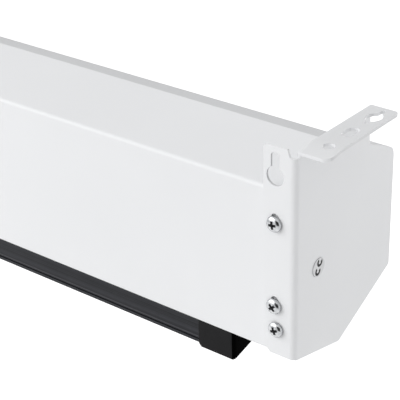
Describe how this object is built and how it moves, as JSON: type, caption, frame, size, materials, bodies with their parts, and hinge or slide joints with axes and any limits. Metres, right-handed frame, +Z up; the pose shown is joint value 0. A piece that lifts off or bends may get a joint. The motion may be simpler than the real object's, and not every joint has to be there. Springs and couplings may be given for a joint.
{
  "type": "pull down projector screen",
  "caption": "Spring roller projector screen in a bent steel case with end plates for wall or ceiling, a weight bar and a pull handle.",
  "frame": {"origin": "on the back panel's outer face, halfway along the case, at the height of the roller's axis", "axes": "+X along the case to the spring end, +Y from the wall into the room, +Z up"},
  "size_m": [1.711, 0.0897, 0.2088],
  "materials": {
    "case_paint": "satin white powder coat, faint orange peel",
    "zinc_plate": "bright zinc plate",
    "bare_steel": "plain drawn steel",
    "spring_steel": "oiled spring steel",
    "bar_anodized": "charcoal anodized extrusion, fine lines along its length",
    "black_plastic": "black moulded plastic, fine grain",
    "nylon": "natural moulded nylon",
    "stop_rubber": "matt black rubber",
    "screen_fabric": "matt white front, black border and black back"
  },
  "bodies": {
    "housing": {"case_shell": "case_paint", "end_plate_right": "case_paint", "end_plate_left": "case_paint", "plate_screw_upper_right": "zinc_plate", "plate_screw_middle_right": "zinc_plate", "plate_screw_lower_right": "zinc_plate", "plate_screw_upper_left": "zinc_plate", "plate_screw_middle_left": "zinc_plate", "plate_screw_lower_left": "zinc_plate", "spring_axle": "zinc_plate", "idle_axle": "zinc_plate", "drive_pin_upper_right": "bare_steel", "drive_pin_lower_right": "bare_steel", "drive_pin_upper_left": "bare_steel", "drive_pin_lower_left": "bare_steel", "ratchet_wheel": "bare_steel", "spring_collar": "bare_steel", "torsion_spring": "spring_steel"},
    "roller": {"roller_tube": "bare_steel", "fabric_roll": "screen_fabric", "spring_plug": "nylon", "idle_plug": "nylon"},
    "upper_pawl": {"pawl_upper": "bare_steel"},
    "lower_pawl": {"pawl_lower": "bare_steel"},
    "bar": {"weight_bar": "bar_anodized", "bar_cap_right": "black_plastic", "bar_cap_left": "black_plastic", "bar_stop_right": "stop_rubber", "bar_stop_left": "stop_rubber", "fabric_batten": "nylon", "fabric_hem": "screen_fabric", "fabric_drop": "screen_fabric", "handle_bracket": "black_plastic", "handle_pin": "zinc_plate", "bracket_screw_right": "zinc_plate", "bracket_screw_left": "zinc_plate"},
    "handle": {"pull_handle": "black_plastic"}
  },
  "joints": [
    {"name": "bar_drop", "type": "slide", "parent": "housing", "child": "bar", "axis": [0, 0, -1], "range_m": [0, 1.177], "stiffness_N_per_m": 8, "springref_m": -1.9, "deforming": ["fabric_drop"]},
    {"name": "roller_spin", "type": "hinge", "parent": "housing", "child": "roller", "pos_m": [0, 0.0182, 0], "axis": [-1, 0, 0], "range_deg": [0, 4588]},
    {"name": "upper_pawl_swing", "type": "hinge", "parent": "roller", "child": "upper_pawl", "pos_m": [0.8276, 0.0132, 0.0106], "axis": [1, 0, 0], "range_deg": [0, 24]},
    {"name": "lower_pawl_swing", "type": "hinge", "parent": "roller", "child": "lower_pawl", "pos_m": [0.8276, 0.0232, -0.0106], "axis": [1, 0, 0], "range_deg": [0, 24]},
    {"name": "handle_swing", "type": "hinge", "parent": "bar", "child": "handle", "pos_m": [0, 0.03524, -0.0887], "axis": [1, 0, 0], "range_deg": [-85, 85]}
  ],
  "couplings": [
    {"joint": "roller_spin", "follows": "bar_drop", "rad_per_m": 68.01}
  ]
}
